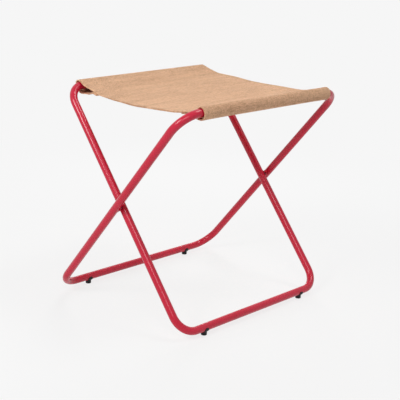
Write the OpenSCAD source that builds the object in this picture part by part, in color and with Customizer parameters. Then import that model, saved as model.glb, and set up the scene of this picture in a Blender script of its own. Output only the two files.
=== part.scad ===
// Folding stool: two closed loops of bent steel tube cross like scissors and carry a woven sling seat.
// X runs along the bars, -Y is the front, +Z is up. The origin is on the floor, under the middle.

/* [Tube] */
// Outer diameter of the frame tube
tube_d = 16; // [14:0.5:20]
// Wall of the frame tube
tube_wall = 1.5; // [1:0.1:2.5]

/* [Stance] */
// Leg length from the pivot up to the top bar's centre line
upper_leg = 277; // [240:1:320]
// Leg length from the pivot down to the bottom bar's centre line
lower_leg = 277; // [250:1:320]
// Lean of each loop from upright when the stool is open, in degrees
leg_tilt = 39.5; // [34:0.5:44]
// Width of the inner loop, between the centre lines of its legs
inner_w = 416; // [380:1:460]
// Clear gap between an inner leg and the outer leg beside it
leg_gap = 4.8; // [3.5:0.1:8]
// Bend radius of the inner loop's corners, at the centre line
inner_bend_r = 40; // [34:1:50]
// Bend radius of the outer loop's corners, at the centre line
outer_bend_r = 46; // [38:1:56]

/* [Pivot] */
// Diameter of the pivot stud where it turns in the bush
pin_d = 8; // [6:0.5:9]
// Diameter of the stud's root, which is welded into the outer leg
pin_root_d = 10; // [8:0.5:10.5]
// Reach of the stud past the inner leg's centre line
pin_reach = 4; // [2:0.5:4.5]
// Clearance round the stud in its bush, on the radius
pin_clearance = 0.05; // [0.02:0.01:0.1]
// Wall of the plastic bush
bush_wall = 1; // [0.8:0.1:1.2]
// Outer diameter of the bush's flange and of the distance ring
boss_d = 13; // [11:0.5:15]
// Thickness of the bush's flange over the crown of the leg
flange_t = 1; // [0.6:0.1:1.6]
// Running gap between the bush's flange and the distance ring
thrust_gap = 0.2; // [0.1:0.05:0.5]

/* [Feet] */
// Distance of each front foot in from the inner leg's centre line
front_foot_inset = 61.5; // [55:0.5:80]
// Distance of each back foot in from the outer leg's centre line
back_foot_inset = 79; // [70:0.5:95]
// Height of a foot under the tube
foot_h = 7; // [5:0.5:12]
// Diameter of the foot's pad
pad_d = 12; // [10:0.5:14]
// Chamfer round the pad's bottom edge
pad_edge = 0.8; // [0.4:0.1:1.5]
// Width of the foot's clip, along the bar
clip_w = 11; // [8:0.5:16]
// Wall of the clip, whose two cheeks grip the tube from below
clip_wall = 1.2; // [0.8:0.1:2]
// Height of the cheeks above the tube's centre line
clip_rise = 1; // [0:0.5:3]
// Corner radius of the cheeks
cheek_r = 4; // [1:0.5:4]
// Diameter of the stem that is pushed into the tube
stem_d = 5; // [4:0.5:6]

/* [Seat] */
// Width of the cloth, along the bars
seat_w = 376; // [340:1:390]
// Thickness of the cloth
cloth_t = 2.5; // [1.5:0.1:3.5]
// Wall of the sleeve round a bar, where the cloth lies double
sleeve_wall = 4; // [3:0.1:5]
// Clearance between the sleeve and its bar, on the radius
sleeve_gap = 0.3; // [0.2:0.05:0.6]
// Distance by which the lower layer of a sleeve stops short of its end
lower_inset = 8; // [6:1:14]
// Distance from a bar's centre line to the far edge of the seam that closes its sleeve
seam_reach = 56; // [46:1:70]
// Width of that seam, where the two layers are sewn together
seam_w = 12; // [8:1:16]
// Drop of the cloth at the seam, below the bars' centre lines
seam_drop = 7; // [3:0.5:12]
// Drop of the cloth at the middle of the seat
seat_drop = 10; // [8:0.5:30]
// Width of the folded hem along each free edge
hem_w = 10; // [6:1:16]
// Thickness of that hem
hem_t = 4; // [3.6:0.1:6]
// Width of the strip in the middle, where the cloth creases when the stool is folded
crease_w = 84; // [80:1:110]
// Gap between that strip and the back half, which turn apart
crease_gap = 0.3; // [0.2:0.05:0.6]

/* [Hidden] */
$fn = 96;

red = [0.72, 0.10, 0.18];
black = [0.06, 0.06, 0.06];
steel = [0.70, 0.71, 0.72];
cloth = [0.84, 0.68, 0.53];

tube_r = tube_d / 2;
bore_r = tube_r - tube_wall;
outer_w = inner_w + 2 * (tube_d + leg_gap);
front_foot_x = inner_w / 2 - front_foot_inset;
back_foot_x = outer_w / 2 - back_foot_inset;
pivot_z = lower_leg * cos(leg_tilt) + tube_r + foot_h;
top_y = upper_leg * sin(leg_tilt);
top_z = pivot_z + upper_leg * cos(leg_tilt);
bottom_y = lower_leg * sin(leg_tilt);
bottom_z = tube_r + foot_h;

// How far shapes that are joined run into each other, and the play left at blind ends
overlap = 0.5;
end_play = 0.1;
fit_gap = 0.02;

inner_face_x = inner_w / 2 + tube_r;
pin_end_x = inner_w / 2 - pin_reach;
pin_chamfer = 0.8;
root_end_x = outer_w / 2 + sqrt(pow(bore_r, 2) - pow(pin_root_d / 2, 2)) - end_play;
root_start_x = outer_w / 2 - bore_r + overlap;
boss_start_x = inner_face_x + flange_t + thrust_gap;
bush_r = pin_d / 2 + pin_clearance + bush_wall;
bush_lip = 0.8;
bush_end_x = inner_w / 2 - sqrt(pow(bore_r, 2) - pow(bush_r, 2)) + bush_lip;

clip_r = tube_r + clip_wall;
stem_reach = 3.4;
stem_top = bottom_z - bore_r + stem_reach;
barb = 0.6;
barb_r = stem_d / 2 + barb;
barb_z = bottom_z - sqrt(pow(bore_r, 2) - pow(barb_r, 2)) + 2 * end_play;

layer_inset = 0.15;
sleeve_bore = tube_r + sleeve_gap;
sleeve_r = sleeve_bore + sleeve_wall;
end_wall = 1.2;

// How far the tube of a corner bend reaches in towards the loop's middle, x along the bar from its own middle.
function bend_reach(x, loop_w, bend_r) =
    x <= loop_w / 2 - bend_r ? tube_r :
    bend_r - sqrt(pow(bend_r - tube_r, 2) - pow(x - loop_w / 2 + bend_r, 2));

// The longest sleeve, from the bar's middle, that keeps end_wall of cloth outside the corner bend.
function sleeve_limit(loop_w, bend_r) =
    loop_w / 2 - bend_r
    + sqrt(pow(bend_r - tube_r, 2) - pow(bend_r - (sleeve_r - end_wall - sleeve_gap), 2));

// The point where a line from p touches a circle of radius r round the bar, above (1) or below (-1).
function touch(p, r, side) =
    let (turn = atan2(p[1], p[0]) + side * acos(r / norm(p)))
    [r * cos(turn), r * sin(turn)];

// Drop of the cloth at a distance u from its bar: a shallow curve from the seam to the middle.
function drop(u) =
    seat_drop - (seat_drop - seam_drop) * pow((top_y - u) / (top_y - seam_reach), 2);

// Stands a loop, drawn upright round the pivot, at its lean: 1 leans its top to the front, -1 to the back.
module lean(side) {
    translate([0, 0, pivot_z])
        rotate([side * leg_tilt, 0, 0])
            children();
}

// A closed rectangular loop of round bar, upright in the XZ plane, with the pivot line through its origin.
module loop_bar(w, bend_r, d) {
    for (sx = [-1, 1])
        translate([sx * w / 2, 0, -lower_leg + bend_r])
            cylinder(h = lower_leg + upper_leg - 2 * bend_r, d = d);
    for (z = [-lower_leg, upper_leg])
        translate([-w / 2 + bend_r, 0, z])
            rotate([0, 90, 0])
                cylinder(h = w - 2 * bend_r, d = d);
    for (mx = [0, 1])
        mirror([mx, 0, 0]) {
            translate([w / 2 - bend_r, 0, upper_leg - bend_r])
                corner(bend_r, d);
            translate([w / 2 - bend_r, 0, -lower_leg + bend_r])
                mirror([0, 0, 1])
                    corner(bend_r, d);
        }
}

// A quarter bend from +X round to +Z.
module corner(bend_r, d) {
    rotate([90, 0, 0])
        rotate_extrude(angle = 90)
            translate([bend_r, 0])
                circle(d = d);
}

// A hollow loop, with a hole for the pivot in each leg and a hole for each foot's stem.
module frame_loop(side, w, bend_r, foot_x, hole_d, hole_from, hole_to) {
    color(red)
        difference() {
            lean(side) loop_bar(w, bend_r, tube_d);
            lean(side) loop_bar(w, bend_r, 2 * bore_r);
            for (mx = [0, 1])
                mirror([mx, 0, 0]) {
                    translate([hole_from, 0, pivot_z])
                        rotate([0, 90, 0])
                            cylinder(h = hole_to - hole_from, d = hole_d);
                    translate([foot_x, side * bottom_y, bottom_z - tube_d])
                        cylinder(h = tube_d, d = stem_d + 2 * fit_gap);
                }
        }
}

module outer_frame() {
    frame_loop(
        1, outer_w, outer_bend_r, back_foot_x,
        pin_root_d + 2 * fit_gap, outer_w / 2 - tube_d, outer_w / 2
    );
}

module inner_frame() {
    frame_loop(
        -1, inner_w, inner_bend_r, front_foot_x,
        2 * (bush_r + fit_gap), inner_w / 2, inner_w / 2 + tube_d
    );
}

// Puts a pivot piece, drawn along +X for the right-hand crossing, at the right (1) or left (-1) crossing.
module at_pivot(side) {
    translate([0, 0, pivot_z])
        mirror([side < 0 ? 1 : 0, 0, 0])
            children();
}

// A round bar along +X, from one x to another.
module bar_x(from_x, to_x, d) {
    translate([from_x, 0, 0])
        rotate([0, 90, 0])
            cylinder(h = to_x - from_x, d = d);
}

// Turned stud: a thick root inside the outer leg, a running journal and a chamfered free end.
module pivot_pin(side) {
    color(steel)
        at_pivot(side) {
            bar_x(pin_end_x + pin_chamfer, root_end_x, pin_d);
            bar_x(root_start_x, root_end_x, pin_root_d);
            translate([pin_end_x, 0, 0])
                rotate([0, 90, 0])
                    cylinder(h = pin_chamfer, d1 = pin_d - 2 * pin_chamfer, d2 = pin_d);
        }
}

// Distance ring, notched to sit on the round outer leg.
module pivot_boss(side) {
    color(red)
        at_pivot(side)
            difference() {
                bar_x(boss_start_x, outer_w / 2, boss_d);
                bar_x(boss_start_x - 1, outer_w / 2 + 1, pin_d + 2 * pin_clearance);
                rotate([leg_tilt, 0, 0])
                    translate([outer_w / 2, 0, -boss_d])
                        cylinder(h = 2 * boss_d, d = tube_d);
            }
}

// Flanged bush, pushed into the inner leg, with a flange notched to sit on the round leg.
module pivot_bush(side) {
    color(black)
        at_pivot(side)
            difference() {
                union() {
                    difference() {
                        bar_x(inner_w / 2, inner_face_x + flange_t, boss_d);
                        rotate([-leg_tilt, 0, 0])
                            translate([inner_w / 2, 0, -boss_d])
                                cylinder(h = 2 * boss_d, d = tube_d);
                    }
                    bar_x(bush_end_x, inner_face_x + flange_t, 2 * bush_r);
                }
                bar_x(bush_end_x - 1, inner_face_x + flange_t + 1, pin_d + 2 * pin_clearance);
            }
}

// Outline of the clip seen along Y: straight sides and rounded upper corners, reaching down to the pad.
module clip_outline() {
    top = bottom_z + clip_rise;
    foot_top = foot_h - clip_wall - overlap;
    translate([-clip_w / 2, foot_top])
        square([clip_w, top - cheek_r - foot_top]);
    translate([-clip_w / 2 + cheek_r, top - 2 * cheek_r])
        square([clip_w - 2 * cheek_r, 2 * cheek_r]);
    for (sx = [-1, 1])
        translate([sx * (clip_w / 2 - cheek_r), top - cheek_r])
            circle(r = cheek_r);
}

// Glide: a round pad under a clip that grips the tube, with a barbed stem pushed into the tube's hole.
module foot(x, y) {
    pad_r = pad_d / 2;
    pad_top = bottom_z - sqrt(pow(clip_r, 2) - pow(pad_r, 2)) + overlap;
    color(black)
        translate([x, y, 0]) {
            difference() {
                union() {
                    rotate_extrude()
                        polygon([
                            [0, 0], [pad_r - pad_edge, 0], [pad_r, pad_edge], [pad_r, pad_top], [0, pad_top]
                        ]);
                    intersection() {
                        translate([-clip_w, 0, bottom_z])
                            rotate([0, 90, 0])
                                cylinder(h = 2 * clip_w, r = clip_r);
                        translate([0, 2 * clip_r, 0])
                            rotate([90, 0, 0])
                                linear_extrude(height = 4 * clip_r)
                                    clip_outline();
                    }
                }
                translate([-2 * clip_w, 0, bottom_z])
                    rotate([0, 90, 0])
                        cylinder(h = 4 * clip_w, d = tube_d);
            }
            rotate_extrude()
                polygon([
                    [0, foot_h - overlap], [stem_d / 2, foot_h - overlap],
                    [stem_d / 2, barb_z], [barb_r, barb_z],
                    [stem_d / 2 - barb, stem_top], [0, stem_top]
                ]);
        }
}

// Draws seat pieces with u from the bar towards the middle along +Y: 1 for the front bar, -1 for the back bar.
module at_bar(side) {
    mirror([0, side < 0 ? 1 : 0, 0])
        translate([0, -top_y, top_z])
            children();
}

// A strip of cloth with the given outline in u and height, as wide as w along the bar, centred at x.
module strip(outline, w, x = 0) {
    translate([x - w / 2, 0, 0])
        rotate([90, 0, 90])
            linear_extrude(height = w)
                polygon(outline);
}

// Outline of the hanging cloth between two distances from its bar.
function hang(from_u, to_u, thick) =
    let (steps = 8, us = [for (i = [0 : steps]) from_u + (to_u - from_u) * i / steps])
    concat(
        [for (u = us) [u, -drop(u) + thick / 2]],
        [for (i = [steps : -1 : 0]) [us[i], -drop(us[i]) - thick / 2]]
    );

// Hanging cloth with a thicker folded hem along both free edges.
module hanging_cloth(from_u, to_u) {
    strip(hang(from_u, to_u, cloth_t), seat_w - 2 * hem_w + 2 * overlap);
    for (sx = [-1, 1])
        strip(hang(from_u, to_u, hem_t), hem_w, sx * (seat_w - hem_w) / 2);
}

// One layer of a sleeve, from its touch on the bar's round to the seam: 1 above, -1 below.
module sleeve_layer(side, w) {
    seam_end = [seam_reach, -drop(seam_reach) + side * cloth_t / 2];
    seam_start = [seam_reach - seam_w, -seam_drop];
    outside = touch(seam_end, sleeve_r - layer_inset, side);
    inside = touch(seam_start, sleeve_r - cloth_t, side);
    strip([outside, seam_end, [seam_reach, -drop(seam_reach)], seam_start, inside], w);
}

// Sleeve round a bar, its bore widened at the ends so that the corner bends stay clear.
module sleeve_ring(half_w, loop_w, bend_r) {
    steps = 6;
    flare_from = min(half_w - 1, loop_w / 2 - bend_r);
    xs = [for (i = [0 : steps]) flare_from + (half_w - flare_from) * i / steps];
    bore = [for (x = xs) [bend_reach(x, loop_w, bend_r) + sleeve_gap, x]];
    rotate([0, 90, 0])
        rotate_extrude()
            polygon(concat(
                [for (i = [steps : -1 : 0]) [bore[i][0], -bore[i][1]]],
                bore,
                [[sleeve_r, half_w], [sleeve_r, -half_w]]
            ));
}

// Half a seat: the sleeve, its two layers down to the seam, and the cloth up to the crease strip.
module seat_half(side, loop_w, bend_r, to_u) {
    half_w = min(seat_w / 2, sleeve_limit(loop_w, bend_r));
    color(cloth)
        at_bar(side) {
            sleeve_ring(half_w, loop_w, bend_r);
            sleeve_layer(1, seat_w);
            sleeve_layer(-1, 2 * (half_w - lower_inset));
            hanging_cloth(seam_reach - seam_w, to_u);
        }
}

module seat_front() {
    seat_half(1, outer_w, outer_bend_r, top_y - crease_w / 2);
}

module seat_back() {
    seat_half(-1, inner_w, inner_bend_r, top_y - crease_w / 2 - crease_gap);
}

module seat_middle() {
    color(cloth)
        at_bar(1)
            hanging_cloth(top_y - crease_w / 2, top_y + crease_w / 2);
}

outer_frame();
inner_frame();
pivot_pin(-1);  // pivot_pin_left
pivot_pin(1);  // pivot_pin_right
pivot_boss(-1);  // pivot_boss_left
pivot_boss(1);  // pivot_boss_right
pivot_bush(-1);  // pivot_bush_left
pivot_bush(1);  // pivot_bush_right
foot(-back_foot_x, bottom_y);  // foot_back_left
foot(back_foot_x, bottom_y);  // foot_back_right
foot(-front_foot_x, -bottom_y);  // foot_front_left
foot(front_foot_x, -bottom_y);  // foot_front_right
seat_front();
seat_middle();
seat_back();
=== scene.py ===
import math

import bpy
import numpy as np
from mathutils import Matrix, Vector


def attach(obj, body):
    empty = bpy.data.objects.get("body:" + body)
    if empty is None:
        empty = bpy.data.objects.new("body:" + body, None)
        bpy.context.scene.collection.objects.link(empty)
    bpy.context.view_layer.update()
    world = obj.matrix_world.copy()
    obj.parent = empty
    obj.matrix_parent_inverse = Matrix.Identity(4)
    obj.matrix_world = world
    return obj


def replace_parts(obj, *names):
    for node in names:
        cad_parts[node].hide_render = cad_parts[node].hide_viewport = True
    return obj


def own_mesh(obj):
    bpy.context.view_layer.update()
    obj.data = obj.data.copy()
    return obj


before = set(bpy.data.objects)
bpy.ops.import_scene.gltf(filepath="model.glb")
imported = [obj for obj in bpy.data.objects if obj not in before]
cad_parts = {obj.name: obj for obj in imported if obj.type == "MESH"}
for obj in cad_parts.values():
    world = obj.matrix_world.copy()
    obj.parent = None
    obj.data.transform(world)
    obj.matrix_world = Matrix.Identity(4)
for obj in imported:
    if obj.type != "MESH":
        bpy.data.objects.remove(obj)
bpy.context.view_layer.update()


# Camera, at the photograph's place: in front of the stool, to its left and a little above the seat.
# The picture is cut out of a wider one, so the lens is shifted sideways by a tenth of the picture's width.
camera_eye = Vector((-1.346526, -1.288400, 0.755083))
camera_turn, camera_rise, camera_roll = math.radians(-43.896), math.radians(16.768), math.radians(1.813)
sensor_w = 36.0
picture_px, focal_px = 400, 912.99
shift_across_px, shift_up_px = 40.0, 4.0
bpy.ops.object.camera_add(location=camera_eye)
camera = bpy.context.object
camera.name = "camera"
camera.data.sensor_width = sensor_w
camera.data.lens = sensor_w * focal_px / picture_px
camera.data.shift_x, camera.data.shift_y = shift_across_px / picture_px, shift_up_px / picture_px
camera.data.clip_start, camera.data.clip_end = 0.05, 60.0
camera.rotation_mode = "QUATERNION"
camera.rotation_quaternion = (
    Matrix.Rotation(camera_turn, 4, "Z")
    @ Matrix.Rotation(math.pi / 2 - camera_rise, 4, "X")
    @ Matrix.Rotation(camera_roll, 4, "Z")
).to_quaternion()
bpy.context.scene.camera = camera


# The two loops: 16 mm steel tube, bent to a closed rectangle with round corners and powder-coated red.
# Each is drawn upright round the pivot line, then leaned: the wide outer one forwards, the inner one back.
# The butt joint that closes each loop lies under the seat's sleeve, so it doesn't show.
tube_r = 0.008
tube_sides, bend_steps, bar_steps = 40, 16, 4
pivot_z = 0.228739
leg_reach, crossing_reach = 0.277, 0.012
lean = math.radians(39.5)
outer_w, outer_bend = 0.4576, 0.046
inner_w, inner_bend = 0.416, 0.040
hole_r, hole_from, hole_to = 0.00507, 0.2025, 0.222
coat_dark, coat_light = (0.530, 0.0055, 0.031), (0.565, 0.0098, 0.041)


def alone(obj):
    """Selects one object and nothing else."""
    bpy.ops.object.select_all(action="DESELECT")
    obj.select_set(True)
    bpy.context.view_layer.objects.active = obj
    return obj


def tidied(obj, name, smooth_angle=40):
    """Ends a piece: its name, its place in its mesh, merged points, outward faces and smooth rounds."""
    obj.name = obj.data.name = name
    alone(obj)
    bpy.ops.object.transform_apply(location=True, rotation=True, scale=True)
    bpy.ops.object.mode_set(mode="EDIT")
    bpy.ops.mesh.select_all(action="SELECT")
    bpy.ops.mesh.remove_doubles(threshold=0.000002)
    bpy.ops.mesh.normals_make_consistent(inside=False)
    bpy.ops.object.mode_set(mode="OBJECT")
    bpy.ops.object.shade_smooth_by_angle(angle=math.radians(smooth_angle))
    return obj


def worked(obj, tool, action):
    """Cuts obj by another shape, or joins that shape to it, and clears the shape away."""
    alone(obj)
    step = obj.modifiers.new("work", "BOOLEAN")
    step.operation, step.solver, step.object = action, "EXACT", tool
    bpy.ops.object.modifier_apply(modifier=step.name)
    bpy.data.objects.remove(tool, do_unlink=True)
    return obj


def rod(start, end, radius, sides=64):
    """A round bar from one point to another, for cutting or joining."""
    start, end = Vector(start), Vector(end)
    way = end - start
    bpy.ops.object.select_all(action="DESELECT")
    bpy.ops.mesh.primitive_cylinder_add(
        vertices=sides, radius=radius, depth=way.length, location=(start + end) / 2,
        rotation=way.to_track_quat("Z", "Y").to_euler(),
    )
    made = bpy.context.object
    bpy.ops.object.transform_apply(location=True, rotation=True, scale=True)
    return made


def pivot_rod(side, near, far, radius):
    """A round bar on the pivot line, from one distance off the stool's middle to another."""
    return rod((side * near, 0, pivot_z), (side * far, 0, pivot_z), radius)


def bent_loop(name, width, bend, tilt):
    """One loop: a ring of points drawn along the bars and legs and spun round the corners, then leaned."""
    half = width / 2
    run = width - 2 * bend
    bottom, top = pivot_z - leg_reach, pivot_z + leg_reach
    bpy.ops.object.select_all(action="DESELECT")
    bpy.ops.mesh.primitive_circle_add(
        vertices=tube_sides, radius=tube_r, location=(-half + bend, 0, bottom), rotation=(0, math.pi / 2, 0)
    )
    loop = bpy.context.object
    bpy.ops.object.transform_apply(location=True, rotation=True, scale=True)
    bpy.ops.object.mode_set(mode="EDIT")
    bpy.ops.mesh.select_all(action="SELECT")

    def draw(dx, dz):
        bpy.ops.mesh.extrude_region_move(TRANSFORM_OT_translate={"value": (dx, 0, dz)})

    def corner(x, z):
        bpy.ops.mesh.spin(steps=bend_steps, angle=math.pi / 2, center=(x, 0, z), axis=(0, 1, 0))

    leg = leg_reach - bend - crossing_reach
    for side, first_z, second_z in ((1, bottom + bend, top - bend), (-1, top - bend, bottom + bend)):
        for _ in range(bar_steps):
            draw(side * run / bar_steps, 0)
        corner(side * (half - bend), first_z)
        for length in (leg, crossing_reach, crossing_reach, leg):
            draw(0, side * length)
        corner(side * (half - bend), second_z)
    bpy.ops.mesh.select_all(action="SELECT")
    bpy.ops.mesh.remove_doubles(threshold=0.00001)
    bpy.ops.mesh.normals_make_consistent(inside=False)
    bpy.ops.transform.rotate(
        value=-tilt, orient_axis="X", orient_type="GLOBAL", center_override=(0, 0, pivot_z)
    )
    bpy.ops.object.mode_set(mode="OBJECT")
    return tidied(loop, name)


def new_material(name):
    """An empty node material, its tree and its surface shader."""
    made = bpy.data.materials.new(name)
    made.use_nodes = True
    tree = made.node_tree
    return made, tree, tree.nodes["Principled BSDF"]


def wired(tree, made, inputs):
    """Sets a shader node's inputs to values, or joins them to other nodes' outputs."""
    for key, value in inputs.items():
        if isinstance(value, bpy.types.NodeSocket):
            tree.links.new(value, made.inputs[key])
        else:
            made.inputs[key].default_value = value
    return made


def node(tree, kind, inputs=None, **settings):
    """A new shader node with its settings and inputs."""
    made = tree.nodes.new("ShaderNode" + kind)
    for key, value in settings.items():
        setattr(made, key, value)
    return wired(tree, made, inputs or {})


def noise(tree, place, scale, detail):
    return node(tree, "TexNoise", {"Vector": place, "Scale": scale, "Detail": detail}).outputs["Fac"]


def tinted(tree, pattern, dark, light, ends=(0.0, 1.0)):
    """A colour that goes from dark to light as a pattern's value goes from one of the ends to the other."""
    ramp = node(tree, "ValToRGB", {"Fac": pattern})
    for element, place, colour in zip(ramp.color_ramp.elements, ends, (dark, light)):
        element.position, element.color = place, (*colour, 1)
    return ramp.outputs["Color"]


def ranged(tree, pattern, low, high, start=0.0, end=1.0, **settings):
    """A value that goes from low to high as a pattern's value goes from start to end."""
    spread = {"Value": pattern, "From Min": start, "From Max": end, "To Min": low, "To Max": high}
    return node(tree, "MapRange", spread, **settings).outputs["Result"]


def bumped(tree, height, strength, distance):
    bump = node(tree, "Bump", {"Strength": strength, "Distance": distance, "Height": height})
    return bump.outputs["Normal"]


def red_powder_coat():
    """Red powder coat: faint clouds of tone, a fine grain and a smoother upper skin."""
    made, tree, skin = new_material("red_powder_coat")
    place = node(tree, "TexCoord").outputs["Object"]
    cloud = noise(tree, place, scale=14.0, detail=3.0)
    grain = noise(tree, place, scale=620.0, detail=2.0)
    fine_grain = noise(tree, place, scale=2600.0, detail=1.0)
    height = node(tree, "Math", {0: grain, 1: fine_grain}, operation="ADD").outputs[0]
    wired(tree, skin, {
        "Base Color": tinted(tree, cloud, coat_dark, coat_light, ends=(0.3, 0.7)),
        "Roughness": ranged(tree, grain, low=0.27, high=0.33),
        "Normal": bumped(tree, height, strength=0.02, distance=0.00004),
        "Specular IOR Level": 0.06,
        "Specular Tint": (1.0, 0.45, 0.55, 1),
        "Coat Weight": 0.74,
        "Coat Roughness": 0.22,
    })
    return made


coat = red_powder_coat()
outer_loop = bent_loop("outer_loop", outer_w, outer_bend, lean)
inner_loop = bent_loop("inner_loop", inner_w, inner_bend, -lean)
for side in (-1, 1):
    worked(inner_loop, pivot_rod(side, hole_from, hole_to, hole_r), "DIFFERENCE")
tidied(inner_loop, "inner_loop")
for loop, body, cad_node in ((outer_loop, "outer", "outer_frame"), (inner_loop, "inner", "inner_frame")):
    loop.data.materials.clear()
    loop.data.materials.append(coat)
    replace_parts(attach(loop, body), cad_node)


# Pivots: a turned steel stud is welded into each outer leg behind a distance ring, painted with the loop.
# It runs in a black flanged bush pushed into the inner leg, so nothing shows on the stool's outside.
ring_r, ring_from, ring_to = 0.0065, 0.2172, 0.2285
ring_bore_r, ring_bore_from, ring_bore_to = 0.00405, 0.21, 0.23
bead_r, bead_round_r = 0.0010, 0.0067
bead_ripples = ((0.10, 26, 0), (0.06, 9, 1))
flange_r, flange_to = 0.0053, 0.217
bush_r, bush_from, bush_to = 0.00505, 0.2045, 0.2165
bush_bore_r, bush_bore_from, bush_bore_to = 0.00406, 0.2, 0.222
ring_edge, bush_edge = 0.0004, 0.00025
fine_sides = 96
plastic_dark, plastic_light = (0.010, 0.010, 0.011), (0.020, 0.020, 0.021)
steel_dark, steel_light = (0.36, 0.36, 0.37), (0.50, 0.50, 0.51)


def leg_rod(loop_w, side, tilt, reach=0.03):
    """A stretch of the leg to both sides of a crossing, to notch what sits on it."""
    way = Vector((0, -math.sin(tilt), math.cos(tilt))) * reach
    middle = Vector((side * loop_w / 2, 0, pivot_z))
    return rod(middle - way, middle + way, tube_r, fine_sides)


def saddle_x(y, z):
    """How far in from the outer leg's centre plane its round lies, for a point about the pivot line."""
    across = y * math.cos(lean) + z * math.sin(lean)
    return math.sqrt(max(tube_r ** 2 - across ** 2, 0.0))


def edges_rounded(obj, width, segments):
    """Takes the sharpness off a piece's edges."""
    rounding = obj.modifiers.new("rounding", "BEVEL")
    rounding.width, rounding.segments, rounding.angle_limit = width, segments, math.radians(50)
    alone(obj)
    bpy.ops.object.modifier_apply(modifier=rounding.name)
    return obj


def weld_bead(side):
    """The weld round a distance ring's saddle-cut end: a rippled bead laid on the leg's round."""
    bpy.ops.object.select_all(action="DESELECT")
    bpy.ops.mesh.primitive_torus_add(
        major_radius=bead_round_r, minor_radius=bead_r, major_segments=fine_sides, minor_segments=12,
        location=(0, 0, 0), rotation=(0, math.pi / 2, 0),
    )
    bead = bpy.context.object
    bpy.ops.object.transform_apply(location=True, rotation=True, scale=True)
    for v in bead.data.vertices:
        about = math.atan2(v.co.z, v.co.y)
        swell = 1 + sum(high * math.sin(count * about + side * turn) for high, count, turn in bead_ripples)
        around = Vector((0, math.cos(about), math.sin(about))) * bead_round_r
        v.co = around + (v.co - around) * swell
        v.co.x = side * (outer_w / 2 - saddle_x(around.y, around.z)) + v.co.x
        v.co.z += pivot_z
    return bead


def black_plastic():
    """Moulded black plastic: an even, fine-etched matt skin."""
    made, tree, skin = new_material("black_moulded_plastic")
    place = node(tree, "TexCoord").outputs["Object"]
    grain = noise(tree, place, scale=2200.0, detail=3.0)
    cloud = noise(tree, place, scale=160.0, detail=2.0)
    wired(tree, skin, {
        "Base Color": tinted(tree, cloud, plastic_dark, plastic_light),
        "Roughness": ranged(tree, cloud, low=0.42, high=0.58),
        "Normal": bumped(tree, grain, strength=0.25, distance=0.0001),
        "Specular IOR Level": 0.2,
    })
    return made


def turned_steel():
    """Bare steel with the fine rings that a lathe leaves along the stud."""
    made, tree, skin = new_material("turned_steel")
    place = node(tree, "TexCoord").outputs["Object"]
    rings = node(tree, "TexWave", {"Vector": place, "Scale": 900.0, "Distortion": 1.5, "Detail": 2.0},
                 bands_direction="X").outputs["Fac"]
    wired(tree, skin, {
        "Base Color": tinted(tree, rings, steel_dark, steel_light),
        "Normal": bumped(tree, rings, strength=0.2, distance=0.0001),
        "Metallic": 1.0,
        "Roughness": 0.32,
    })
    return made


plastic = black_plastic()
steel = turned_steel()
for side, word in ((-1, "left"), (1, "right")):
    ring = pivot_rod(side, ring_from, ring_to, ring_r)
    worked(ring, leg_rod(outer_w, side, lean), "DIFFERENCE")
    worked(ring, pivot_rod(side, ring_bore_from, ring_bore_to, ring_bore_r), "DIFFERENCE")
    edges_rounded(ring, ring_edge, segments=3)
    tidied(ring, f"distance_ring_{word}")
    ring.data.materials.append(coat)
    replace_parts(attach(ring, "outer"), f"pivot_boss_{word}")

    bead = tidied(weld_bead(side), f"weld_{word}")
    bead.data.materials.append(coat)
    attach(bead, "outer")

    bush = pivot_rod(side, inner_w / 2, flange_to, flange_r)
    worked(bush, leg_rod(inner_w, side, -lean), "DIFFERENCE")
    worked(bush, pivot_rod(side, bush_from, bush_to, bush_r), "UNION")
    worked(bush, pivot_rod(side, bush_bore_from, bush_bore_to, bush_bore_r), "DIFFERENCE")
    edges_rounded(bush, bush_edge, segments=2)
    tidied(bush, f"flanged_bush_{word}")
    bush.data.materials.append(plastic)
    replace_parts(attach(bush, "inner"), f"pivot_bush_{word}")

    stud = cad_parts[f"pivot_pin_{word}"]
    for material_slot in stud.material_slots:
        material_slot.material = steel


# Feet: black moulded glides, each a round pad under a clip whose two cheeks grip the bar from below.
# A barbed stem holds each in its hole in the bar's underside. Two stand under each bottom bar.
bar_y = leg_reach * math.sin(lean)
bar_z = pivot_z - leg_reach * math.cos(lean)
front_foot_x, back_foot_x = 0.1465, 0.1498
pad_r, pad_round, pad_lap = 0.006, 0.0009, 0.0005
clip_w, clip_wall, clip_rise = 0.011, 0.0012, 0.001
blank_depth, blank_high = 0.03, 0.014
cheek_round, foot_edge = 0.004, 0.0003


def bevelled(obj, chosen, width, segments):
    """Rounds the edges for whose two ends chosen is true."""
    alone(obj)
    bpy.ops.object.mode_set(mode="EDIT")
    bpy.ops.mesh.select_mode(type="EDGE")
    bpy.ops.mesh.select_all(action="DESELECT")
    bpy.ops.object.mode_set(mode="OBJECT")
    for edge in obj.data.edges:
        edge.select = chosen(*(obj.data.vertices[i].co for i in edge.vertices))
    bpy.ops.object.mode_set(mode="EDIT")
    bpy.ops.mesh.bevel(offset=width, segments=segments)
    bpy.ops.object.mode_set(mode="OBJECT")
    return obj


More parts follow.
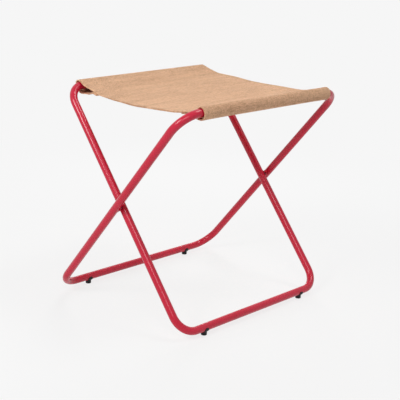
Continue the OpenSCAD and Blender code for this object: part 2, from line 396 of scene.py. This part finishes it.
def clip_foot(name, cad_node, body, x, y):
    """One glide: a shell round the bar trimmed to two round-topped cheeks, joined to its pad."""
    cheek_top = bar_z + clip_rise
    bpy.ops.object.select_all(action="DESELECT")
    bpy.ops.mesh.primitive_cube_add(size=1, location=(x, y, cheek_top - blank_high / 2))
    blank = bpy.context.object
    blank.scale = (clip_w, blank_depth, blank_high)
    bpy.ops.object.transform_apply(location=True, rotation=True, scale=True)

    def on_a_cheek(a, b):
        return min(a.z, b.z) > cheek_top - 0.001 and abs(a.y - b.y) > 0.01

    def on_the_floor(a, b):
        return max(a.z, b.z) < 0.0005

    def bar_rod(reach, radius):
        return rod((x - reach, y, bar_z), (x + reach, y, bar_z), radius, fine_sides)

    bevelled(blank, on_a_cheek, cheek_round, segments=10)
    foot = worked(bar_rod(clip_w, tube_r + clip_wall), blank, "INTERSECT")
    pad_top = bar_z - math.sqrt((tube_r + clip_wall) ** 2 - pad_r ** 2) + pad_lap
    pad = rod((x, y, 0), (x, y, pad_top), pad_r)
    bevelled(pad, on_the_floor, pad_round, segments=4)
    worked(foot, pad, "UNION")
    worked(foot, bar_rod(2 * clip_w, tube_r), "DIFFERENCE")
    edges_rounded(foot, foot_edge, segments=2)
    tidied(foot, name)
    foot.data.materials.append(plastic)
    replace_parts(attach(foot, body), cad_node)


clip_foot("glide_front_left", "foot_front_left", "inner", -front_foot_x, -bar_y)
clip_foot("glide_front_right", "foot_front_right", "inner", front_foot_x, -bar_y)
clip_foot("glide_back_left", "foot_back_left", "outer", -back_foot_x, bar_y)
clip_foot("glide_back_right", "foot_back_right", "outer", back_foot_x, bar_y)


# Seat: one length of heavy plain-woven canvas in natural tan, hemmed along both free edges.
# Each end goes over a top bar and back under itself to a double-stitched seam, which makes a sleeve.
# The cloth creases along its middle when the stool folds, so its halves are two pieces that meet there.
top_z = pivot_z + leg_reach * math.cos(lean)
cloth_t = 0.0017
sleeve_mid_r = 0.0123 - cloth_t / 2
half_w, crease_spread, crease_shift = 0.1855, 0.0022, 0.0022
seam_far, seam_mid, seam_near = 0.058, 0.052, 0.046
seam_rows, seam_row_inset = (0.0485, 0.0555), 0.0035
hem_w, hem_fold, hem_row_inset = 0.010, 0.0012, 0.008
turned_in, seam_fold = 0.010, 0.0013
seam_groove, hem_groove = 0.00032, 0.00022
wave_highs, wave_start, wave_run = (0.00045, 0.00030, 0.00016), 0.012, 0.03
pucker_highs, pucker_run = (0.00016, 0.00012), 0.009
flare_high, flare_long, flare_run = 0.0002, 0.06, 0.016
dip_run, droop_run = 0.045, 0.032
stitch_step, stitch_long, stitch_r = 0.0042, 0.0031, 0.00027
first_stitch, hem_stitch_stop = 0.0012, 0.016
edge_places = np.array([0.046, 0.056, 0.070, 0.090, 0.110, 0.135, 0.160, 0.1762])
course_step, row_at_seam, row_on_bar, row_plain = 0.00025, 0.0007, 0.0014, 0.0027
thread_w = 0.0015
canvas_dark, canvas_light = (0.47, 0.22, 0.108), (0.96, 0.595, 0.36)
sewing_dark, sewing_light = (0.47, 0.27, 0.16), (0.66, 0.42, 0.28)


def smooth(t):
    """Goes from 0 to 1 with a soft start and end."""
    t = np.clip(t, 0, 1)
    return t * t * (3 - 2 * t)


def eased(values, spread=8.0):
    """A run of values with its corners eased by a bell of that spread; it goes on evenly past both ends."""
    reach = int(3 * spread)
    bell = np.exp(-0.5 * (np.arange(-reach, reach + 1) / spread) ** 2)
    before = 2 * values[0] - values[reach:0:-1]
    after = 2 * values[-1] - values[-2:-reach - 2:-1]
    return np.convolve(np.r_[before, values, after], bell / bell.sum(), "valid")


def tangent_angle(point, radius, side):
    """Where round the bar a straight line from a point touches a circle about the bar's centre."""
    return math.atan2(point[1], point[0]) + side * math.acos(radius / math.hypot(*point))


class SeatHalf:
    """One half of the seat, from the middle over its bar and back under it to the seam.

    A place on it is its course s, along the cloth from the crease; x, along the bar; and its inset from the
    side edge. u and h are how far in from the bar's centre and how far over it the cloth lies there.

    left and right are the heights of its side edges over the bars' centres, at the distances edge_places
    from the bar. shift is how far to the right it sits on its bar, and drawn_in how much narrower it is
    there. ease is the play of the sleeve over and under the bar, lean_end how far its ends tip, hollow the
    dip between bar and seam, droop the hang of the lower layer's loose ends, and cut_in how far that layer
    stops short of the edge to clear the bend of the tube. The turned-in end's corners are corner_fold
    thicker, and lie corner_back in from the edge.
    """

    def __init__(self, side, shift, drawn_in, ease, lean_end, hollow, droop, cut_in, corner_fold,
                 corner_back, seed, left, right):
        self.side, self.shift, self.drawn_in, self.cut_in = side, shift, drawn_in, cut_in
        self.corner_fold, self.corner_back = corner_fold, corner_back
        self.lean_end, self.hollow, self.droop = lean_end, hollow, droop
        self.phases = np.random.default_rng(seed).uniform(0, 2 * math.pi, 12)
        self.us = np.arange(seam_near - 0.002, 2 * bar_y - seam_near, 0.0005)
        mirrored = np.minimum(self.us, 2 * bar_y - self.us)
        edges = [eased(np.interp(mirrored, edge_places, heights)) for heights in (left, right)]
        self.mean, self.half_twist = (edges[0] + edges[1]) / 2, (edges[1] - edges[0]) / 2
        self.lay_course(*ease)

    def lay_course(self, ease_top, ease_low):
        """The cloth's middle line: the hang from the crease, the turn round the bar and the seam."""
        us = np.linspace(bar_y, seam_near, 400)
        sag = np.interp(us, self.us, self.mean) - cloth_t / 2
        hang = np.c_[us, sag]
        held = us < seam_far - 0.0005
        seam = np.c_[us[held], sag[held] - cloth_t - 0.0001][::-1]
        from_angle = tangent_angle(hang[-1], sleeve_mid_r + ease_top, 1)
        to_angle = tangent_angle(seam[0], sleeve_mid_r + ease_low, -1) + 2 * math.pi
        turn = np.linspace(from_angle, to_angle, 200)
        radius = sleeve_mid_r + ease_top + (ease_low - ease_top) * smooth((turn - 2.2) / 2.0)
        line = np.r_[hang, np.c_[radius * np.cos(turn), radius * np.sin(turn)], seam]
        away = np.r_[0, np.cumsum(np.hypot(*np.diff(line, axis=0).T))]
        self.s = np.linspace(0, away[-1], int(away[-1] / course_step))
        self.u = eased(np.interp(self.s, away, line[:, 0]))
        self.h = eased(np.interp(self.s, away, line[:, 1]))
        way = np.gradient(np.c_[self.u, self.h], self.s, axis=0)
        self.way = way / np.hypot(*way.T)[:, None]
        self.length = self.s[-1]
        half = len(self.s) // 2
        self.hang_end = self.s[np.argmax(self.u < seam_near)]
        self.wrap_top = self.s[np.argmax(self.h)]
        self.wrap_low = self.s[half + np.argmin(self.h[half:])]
        self.seam_back = self.s[half + np.argmax(self.u[half:] > seam_near)]

    def edge(self, s):
        """Half width of the cloth along its course."""
        into_seam = smooth((s - self.wrap_low - 0.006) / (self.seam_back - self.wrap_low - 0.003))
        cut = smooth((s - self.wrap_top) / (self.wrap_low - self.wrap_top + 0.006)) * (1 - into_seam)
        hung = smooth((self.hang_end - s) / self.hang_end)
        full = (crease_spread + self.drawn_in) * hung - self.drawn_in
        return half_w - self.cut_in * cut - self.corner_back * into_seam + full

    def hem(self, inset):
        """What the hem's second layer adds in thickness."""
        return hem_fold * (1 - smooth((inset - hem_w + 0.0004) / 0.0008))

    def fold(self, inset):
        """Thickness of the turned-in end at the seam: its corners lie double, over the hem."""
        return seam_fold + self.corner_fold * (1 - smooth((inset - hem_w) / 0.002))

    def inside(self, s, inset):
        """What the hem and the turned-in end add on the cloth's inner side."""
        return self.hem(inset) + self.fold(inset) * smooth((s - self.seam_back) / 0.0015)

    def twist(self, s, u):
        """How much higher the right edge lies than the middle."""
        hung = np.interp(u, self.us, self.half_twist)
        at_seam = np.interp(seam_near, self.us, self.half_twist)
        on_top = (s - self.hang_end) / (self.wrap_top - self.hang_end)
        below = (s - self.wrap_low) / (self.seam_back - self.wrap_low)
        share = np.where(s < self.wrap_top, 1 - on_top, below)
        turned = self.lean_end + (at_seam - self.lean_end) * np.clip(share, 0, 1)
        return np.where((s <= self.hang_end) | (s >= self.seam_back), hung, turned)

    def wave(self, s, x, u):
        """Small waves where the cloth hangs free."""
        p = self.phases
        free = smooth((bar_y - u) / wave_run) * (s < self.wrap_top) * smooth((u - wave_start) / wave_run)
        return free * (
            wave_highs[0] * np.sin(x * 41 + p[0]) * np.sin(s * 33 + p[1])
            + wave_highs[1] * np.sin(x * 73 + s * 21 + p[2])
            + wave_highs[2] * np.sin(x * 151 - s * 37 + p[3])
        )

    def pucker(self, s, x, u):
        """Puckers along the seam, where the thread pulls the cloth in."""
        p = self.phases
        near_seam = np.exp(-((u - seam_mid) / pucker_run) ** 2) * (s < self.hang_end + 0.012)
        return near_seam * (
            pucker_highs[0] * np.sin(x * 620 + p[4])
            + pucker_highs[1] * np.sin(x * 431 + p[5]) * np.sin(x * 57 + p[6])
        )

    def groove(self, u, off, inset):
        """Lines that the stitches pull into the upper side: two along the seam and one along the hem."""
        seam_lines = sum(np.exp(-((u - row) / 0.0007) ** 2) for row in seam_rows)
        hem_line = np.exp(-((inset - hem_row_inset) / 0.0006) ** 2)
        return -(seam_groove * seam_lines + hem_groove * hem_line) * (off > 0)

    def sleeve_ends(self, s, x, inset):
        """How the sleeve's open ends leave a plain round: a faint flare, a dip and a hang below."""
        wrapped = (s > self.hang_end) * (s < self.seam_back)
        flare = flare_high * np.sin(3 * math.pi * (s - self.hang_end) / flare_long + self.phases[7])
        flare = flare * smooth((flare_run - inset) / flare_run) * wrapped
        between = np.clip((s - self.hang_end) / (self.wrap_top - self.hang_end), 0, 1)
        dip = np.sin(math.pi * between ** 1.2) ** 2 * (0.6 - 0.4 * x / half_w)
        dip = -self.hollow * dip * np.exp(-(inset / dip_run) ** 2)
        going_under = smooth((s - self.wrap_top - 0.012) / (self.wrap_low - self.wrap_top - 0.012))
        under = going_under * (1 - smooth((s - self.seam_back + 0.030) / 0.030))
        return flare + dip + self.droop * under * np.exp(-(inset / droop_run) ** 2)

    def point(self, s, x, off, inset):
        """Points off the cloth's middle plane by off, at course s, place x and inset from the edge."""
        u, h = np.interp(s, self.s, self.u), np.interp(s, self.s, self.h)
        nu, nh = np.interp(s, self.s, self.way[:, 1]), -np.interp(s, self.s, self.way[:, 0])
        under_seam = smooth((s - self.wrap_low) / (self.seam_back - self.wrap_low))
        lowered = under_seam * (2 * self.hem(inset) + self.fold(inset))
        relief = self.wave(s, x, u) + self.pucker(s, x, u) + self.groove(u, off, inset)
        out = off + relief + self.sleeve_ends(s, x, inset) + lowered
        y = -bar_y + u + nu * out
        z = top_z + h + nh * out + self.twist(s, u) * x / half_w
        to_right = crease_shift + (self.shift - crease_shift) * smooth(s / self.hang_end)
        return np.stack([x + to_right, self.side * y, z], axis=-1)


def canvas():
    """Tan canvas: a plain weave of round threads, each with light and dark stretches of its own."""
    made, tree, skin = new_material("tan_canvas")
    uv = node(tree, "UVMap", uv_map="cloth").outputs["UV"]
    place = node(tree, "TexCoord").outputs["Object"]
    over_cloth = node(tree, "SeparateXYZ", {"Vector": uv}).outputs

    def sum_of(kind, a, b=0.0, c=0.0):
        return node(tree, "Math", {0: a, 1: b, 2: c}, operation=kind).outputs[0]

    def rounded_thread(run):
        """A thread's height across itself: low at its edges and high in its middle."""
        return sum_of("SINE", sum_of("MULTIPLY", sum_of("FRACT", run), math.pi))

    def stretched(scale_across, scale_along, detail):
        """Noise that is drawn out along the cloth or across it."""
        spot = node(tree, "Mapping", {"Vector": uv, "Scale": (scale_across, scale_along, 1.0)}).outputs[0]
        return noise(tree, spot, scale=1.0, detail=detail)

    def slubs(thread_no, run, scale):
        """Thick and thin stretches along each thread, a different run for each."""
        spot = node(tree, "CombineXYZ", {
            "X": sum_of("MULTIPLY", run, scale), "Y": sum_of("MULTIPLY", thread_no, 7.31)})
        return noise(tree, spot.outputs[0], scale=1.0, detail=2.0)

    across = sum_of("MULTIPLY", over_cloth["X"], 1 / thread_w)
    along = sum_of("MULTIPLY", over_cloth["Y"], 1 / thread_w)
    warp_no, weft_no = sum_of("FLOOR", across), sum_of("FLOOR", along)
    warp_round, weft_round = rounded_thread(across), rounded_thread(along)
    warp_over = sum_of("MODULO", sum_of("ADD", warp_no, sum_of("ADD", weft_no, 20000.0)), 2.0)
    warp_hump = sum_of("MULTIPLY", warp_round, sum_of("MULTIPLY_ADD", weft_round, 0.5, 0.5))
    weft_hump = sum_of("MULTIPLY", weft_round, sum_of("MULTIPLY_ADD", warp_round, 0.5, 0.5))
    hump = node(tree, "Mix", {0: warp_over, 2: weft_hump, 3: warp_hump}).outputs[0]
    weft_tone = slubs(weft_no, over_cloth["X"], scale=80.0)
    warp_tone = slubs(warp_no, over_cloth["Y"], scale=110.0)
    thread_tone = node(tree, "Mix", {0: warp_over, 2: weft_tone, 3: warp_tone}).outputs[0]
    crossing = node(tree, "CombineXYZ", {"X": warp_no, "Y": weft_no}).outputs[0]
    crossing = node(tree, "TexWhiteNoise", {"Vector": crossing}, noise_dimensions="2D").outputs["Value"]
    streak = stretched(scale_across=7.0, scale_along=60.0, detail=3.0)
    fleck = stretched(scale_across=330.0, scale_along=470.0, detail=1.0)
    cloud = noise(tree, place, scale=9.0, detail=3.0)
    tone = -1.345
    # The hump share paints shade into the colour: each thread is lighter on its rounded middle and darker
    # at its edges, down between the threads.
    shares = (
        (thread_tone, 1.40), (streak, 0.75), (cloud, 0.30), (fleck, 0.50), (hump, 0.60), (crossing, 0.60)
    )
    for pattern, share in shares:
        tone = sum_of("MULTIPLY_ADD", pattern, share, tone)
    # Painted shade: from a little before the bar onward, the sleeve round and under the bar is darker,
    # because it faces away from the light above.
    painted_sleeve_shade = ranged(tree, over_cloth["Y"], low=0.0, high=0.11, start=0.140, end=0.172)
    from_middle = sum_of("ABSOLUTE", over_cloth["X"])
    at_the_edge = ranged(tree, from_middle, low=0.0, high=0.45, start=half_w - 0.0016, end=half_w)
    tone = sum_of("SUBTRACT", sum_of("SUBTRACT", tone, painted_sleeve_shade), at_the_edge)
    height = sum_of("MULTIPLY_ADD", thread_tone, 0.6, hump)
    wired(tree, skin, {
        "Base Color": tinted(tree, tone, canvas_dark, canvas_light),
        "Normal": bumped(tree, height, strength=1.0, distance=0.0006),
        "Roughness": 0.92,
        "Specular IOR Level": 0.2,
        "Sheen Weight": 0.13,
        "Sheen Roughness": 0.5,
    })
    return made


def sewing_thread():
    """Sewing thread of the cloth's colour, with the slanting lines of its twist."""
    made, tree, skin = new_material("tan_sewing_thread")
    place = node(tree, "TexCoord").outputs["Object"]
    ply = node(tree, "TexWave", {"Vector": place, "Scale": 700.0, "Distortion": 2.0},
               bands_direction="DIAGONAL").outputs["Fac"]
    wired(tree, skin, {
        "Base Color": tinted(tree, ply, sewing_dark, sewing_light),
        "Normal": bumped(tree, ply, strength=0.4, distance=0.0001),
        "Roughness": 0.75,
    })
    return made


def built(name, points, faces, material):
    """A new piece from its points and faces."""
    mesh = bpy.data.meshes.new(name)
    mesh.from_pydata(points, [], faces)
    made = bpy.data.objects.new(name, mesh)
    bpy.context.collection.objects.link(made)
    made.data.materials.append(material)
    return made


def spaced_rows(half):
    """Places along the course: close together at the seam and round the bar, wider on plain cloth."""
    places = [0.0]
    while places[-1] < half.length - 0.0010:
        u = np.interp(places[-1], half.s, half.u)
        if seam_near - 0.002 < u < seam_far + 0.003:
            step = row_at_seam
        else:
            step = row_on_bar if u < 0.016 else row_plain
        places.append(places[-1] + step)
    return places + [half.length]


def woven_half(name, half, material):
    """One half of the cloth: closed rings of points round its width, one after another along its course."""
    rim = np.array([0.00145, 0.0022, 0.0035, 0.0055, 0.0070, 0.0076, 0.0080, 0.0084, 0.0090,
                    0.0095, 0.0098, 0.0101, 0.0104, 0.0110, 0.0125, 0.0150])
    middle = np.linspace(-1, 1, 170)[1:-1]
    arc = np.radians([72, 45, 18, -18, -45, -72])
    end_rounding = [(0.0, 1.0), (0.0006, 0.93), (0.0011, 0.72), (0.0014, 0.42), (0.0015, 0.15)]
    table = [(s, 0.0, 1.0) for s in spaced_rows(half)[:-1]] + [(half.length, d, k) for d, k in end_rounding]
    rings, uvs = [], []
    for s, beyond, thick in table:
        w = float(half.edge(np.array(s)))
        x = np.r_[-(w - rim), middle * (w - rim[-1]), (w - rim)[::-1]]
        inner = half.inside(s, w - np.abs(x))
        half_t = (cloth_t + inner) / 2 * thick
        rim_t, rim_inner = half_t[0], inner[0]
        x_arc = w - rim[0] + rim[0] * np.cos(arc)
        off_arc = -rim_inner / 2 + rim_t * np.sin(arc)
        xs = np.r_[x, x_arc, x[::-1], -x_arc[::-1]]
        offs = np.r_[half_t - inner / 2, off_arc, (-half_t - inner / 2)[::-1], off_arc[::-1]]
        ring = half.point(np.full(len(xs), s), xs, offs, w - np.abs(xs))
        ring += beyond * np.array([0, half.side * half.way[-1, 0], half.way[-1, 1]])
        rings.append(ring)
        uvs.append(np.c_[xs, np.full(len(xs), s + beyond)])
    count, columns, arc_count = len(rings[0]), len(rim) * 2 + len(middle), len(arc)
    faces = []
    for row in range(len(rings) - 1):
        a, b = row * count, (row + 1) * count
        for c in range(count):
            d = (c + 1) % count
            faces.append((a + c, a + d, b + d, b + c))
    for base, flip in ((0, False), ((len(rings) - 1) * count, True)):
        last = base + 2 * columns + arc_count - 1
        caps = [(base + c, last - c, last - c - 1, base + c + 1) for c in range(columns - 1)]
        caps.append(tuple(base + columns - 1 + k for k in range(arc_count + 2)))
        caps.append(tuple(last + k for k in range(arc_count + 1)) + (base,))
        faces += [cap[::-1] if flip else cap for cap in caps]
    made = built(name, np.concatenate(rings).tolist(), faces, material)
    layer = made.data.uv_layers.new(name="cloth")
    point_of_corner = np.zeros(len(made.data.loops), np.int64)
    made.data.loops.foreach_get("vertex_index", point_of_corner)
    layer.data.foreach_set("uv", np.concatenate(uvs)[point_of_corner].astype(np.float32).ravel())
    return tidied(made, name, 50)


def stitch_runs(half):
    """Where one half's stitches start and end: along the course, across the bar, and on which face."""
    runs = []
    upper, lower = half.s < half.wrap_top, half.s > half.wrap_low
    for row in seam_rows:
        over = float(np.interp(-row, -half.u[upper], half.s[upper]))
        under = float(np.interp(row, half.u[lower], half.s[lower]))
        for s in (over, under):
            w = float(half.edge(np.array(s))) - seam_row_inset
            starts = np.arange(-w, w - stitch_long, stitch_step)
            level = np.full(len(starts), s)
            runs.append((level, starts, level, starts + stitch_long, 1))
    for side in (-1, 1):
        starts = np.arange(first_stitch, half.length - stitch_long, stitch_step)
        for face in (1, -1):
            first = starts if face > 0 else starts[starts < half.hang_end - hem_stitch_stop]
            last = first + stitch_long
            x_first, x_last = (side * (half.edge(s) - hem_row_inset) for s in (first, last))
            runs.append((first, x_first, last, x_last, face))
    return runs


def stitch_rows(name, half, material):
    """Every stitch of one half: two rows through the sleeve's seam and one along each hem."""
    along = np.array([0.0, 0.12, 0.35, 0.65, 0.88, 1.0])
    lift = np.array([-0.9, 0.05, 0.5, 0.5, 0.05, -0.9]) * stitch_r
    girth = np.array([0.45, 0.85, 1.0, 1.0, 0.85, 0.45]) * stitch_r
    around = np.arange(6) * math.pi / 3
    places, sides = len(along), len(around)
    points, faces = [], []
    for s_first, x_first, s_last, x_last, face in stitch_runs(half):
        for s0, x0, s1, x1 in zip(s_first, x_first, s_last, x_last):
            s = s0 + (s1 - s0) * along
            x = x0 + (x1 - x0) * along
            inset = half.edge(s) - np.abs(x)
            surface = cloth_t / 2 if face > 0 else -cloth_t / 2 - half.inside(s, inset)
            surface = np.full(places, 1.0) * surface
            base = half.point(s, x, surface, inset)
            far = half.point(s, x, surface + face * 0.001, inset)
            up = (far - base) / np.linalg.norm(far - base, axis=1)[:, None]
            way = base[-1] - base[0]
            way /= np.linalg.norm(way)
            side_way = np.cross(way, up)
            middle = base + up * lift[:, None]
            start = len(points)
            for m in range(places):
                for a in around:
                    points.append(middle[m] + girth[m] * (math.cos(a) * side_way[m] + math.sin(a) * up[m]))
            for m in range(places - 1):
                a0, b0 = start + m * sides, start + (m + 1) * sides
                for c in range(sides):
                    d = (c + 1) % sides
                    faces.append((a0 + c, a0 + d, b0 + d, b0 + c))
            end = start + (places - 1) * sides
            faces.append(tuple(start + c for c in range(sides - 1, -1, -1)))
            faces.append(tuple(end + c for c in range(sides)))
    return tidied(built(name, [tuple(p) for p in points], faces, material), name, 60)


cloth = canvas()
thread = sewing_thread()
front_half = SeatHalf(
    side=1, shift=0.0012, drawn_in=0.0, ease=(0.0, 0.0010), lean_end=0.0004, hollow=0.0058,
    droop=0.0006, cut_in=0.001, corner_fold=0.0, corner_back=0.011, seed=11,
    left=(-0.0034, -0.0054, -0.0072, -0.0083, -0.0098, -0.0110, -0.0122, -0.0127),
    right=(0.0001, -0.0019, -0.0025, -0.0023, -0.0022, -0.0025, -0.0032, -0.0036),
)
back_half = SeatHalf(
    side=-1, shift=0.0022, drawn_in=0.0022, ease=(0.0013, 0.0016), lean_end=0.0018, hollow=0.0026,
    droop=0.0036, cut_in=0.010, corner_fold=0.0011, corner_back=0.0, seed=29,
    left=(-0.0024, -0.0055, -0.0087, -0.0100, -0.0115, -0.0119, -0.0124, -0.0127),
    right=(0.0029, 0.0018, 0.0016, 0.0016, 0.0007, -0.0014, -0.0030, -0.0036),
)
for half, word, body, bar, nodes in (
    (front_half, "front", "cloth_front", outer_loop, ("seat_front", "seat_middle")),
    (back_half, "back", "cloth_back", inner_loop, ("seat_back",)),
):
    piece = woven_half(f"canvas_{word}", half, cloth)
    stitches = stitch_rows(f"stitching_{word}", half, thread)
    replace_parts(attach(piece, body), *nodes)
    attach(stitches, body)
    # Each piece takes its own copy of its mesh.
    for soft in (piece, stitches):
        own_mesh(soft)


# Floor and light of a plain studio: a pale floor that keeps a faint shadow, and a pale surround.
# Five square soft boxes light it: to its left, by the camera, high on its right and two behind it.
# The floor shows a sixth of its own light and shade near the stool, and less of it further out.
floor_tone = (0.9216, 0.9216, 0.9216, 1)
floor_dark, floor_light = (0.89, 0.89, 0.89), (0.91, 0.91, 0.91)
floor_w, floor_z = 40, -0.0002
shade_near, shade_far, plain_near = 0.3, 1.5, 0.84
ambient_light = 0.2
lamp_aim, lamp_away, lamp_w = Vector((0, 0, 0.25)), 2.2, 0.6


def seen_itself(tree):
    """1 for what the camera, a gloss or a glass sees of a surface, and 0 for the light that it gives."""
    rays = node(tree, "LightPath").outputs
    seen = rays["Is Camera Ray"]
    for kind in ("Is Glossy Ray", "Is Transmission Ray"):
        seen = node(tree, "Math", {0: seen, 1: rays[kind]}, operation="MAXIMUM").outputs[0]
    return seen


def pale_floor():
    """A matt floor near the stool that turns into an even pale tone further out."""
    made, tree, skin = new_material("pale_floor")
    tree.nodes.clear()
    place = node(tree, "TexCoord").outputs["Object"]
    paint = tinted(tree, noise(tree, place, scale=3.0, detail=2.0), floor_dark, floor_light)
    matt = node(tree, "BsdfDiffuse", {"Color": paint})
    glow = node(tree, "Emission", {"Color": floor_tone, "Strength": 1.0})
    away = node(tree, "VectorMath", {0: place}, operation="LENGTH").outputs["Value"]
    plain = ranged(tree, away, low=plain_near, high=1.0, start=shade_near, end=shade_far,
                   interpolation_type="SMOOTHSTEP")
    share = node(tree, "Math", {0: seen_itself(tree), 1: plain}, operation="MULTIPLY").outputs[0]
    mix = node(tree, "MixShader", {0: share, 1: matt.outputs[0], 2: glow.outputs[0]})
    node(tree, "OutputMaterial", {"Surface": mix.outputs[0]})
    return made


bpy.ops.object.select_all(action="DESELECT")
bpy.ops.mesh.primitive_plane_add(size=floor_w, location=(0, 0, floor_z))
floor = bpy.context.object
floor.name = "floor"
floor.data.materials.append(pale_floor())

world = bpy.data.worlds.new("studio")
bpy.context.scene.world = world
world.use_nodes = True
tree = world.node_tree
tree.nodes.clear()
surround = node(tree, "Background", {"Color": floor_tone, "Strength": 1.0})
ambient = node(tree, "Background", {"Color": (1, 1, 1, 1), "Strength": ambient_light})
mix = node(tree, "MixShader", {0: seen_itself(tree), 1: ambient.outputs[0], 2: surround.outputs[0]})
node(tree, "OutputWorld", {"Surface": mix.outputs[0]})


def soft_lamp(name, turn, rise, power, in_gloss=True):
    """A square soft box turned to the stool, turn degrees round from its right and rise degrees up."""
    turn, rise = math.radians(turn), math.radians(rise)
    away = Vector((math.cos(rise) * math.cos(turn), math.cos(rise) * math.sin(turn), math.sin(rise)))
    bpy.ops.object.light_add(type="AREA", location=lamp_aim + lamp_away * away)
    lamp = bpy.context.object
    lamp.name = name
    lamp.data.size = lamp_w
    lamp.data.energy = power
    lamp.rotation_mode = "QUATERNION"
    lamp.rotation_quaternion = away.to_track_quat("Z", "Y")
    lamp.visible_glossy = in_gloss


soft_lamp("left_lamp", turn=180, rise=36, power=21)
soft_lamp("camera_side_lamp", turn=225, rise=38, power=9.4)
soft_lamp("right_lamp", turn=315, rise=65, power=12.8)
soft_lamp("back_low_lamp", turn=45, rise=12, power=21, in_gloss=False)
soft_lamp("back_high_lamp", turn=45, rise=38, power=13, in_gloss=False)

bpy.context.scene.view_settings.view_transform = "Standard"
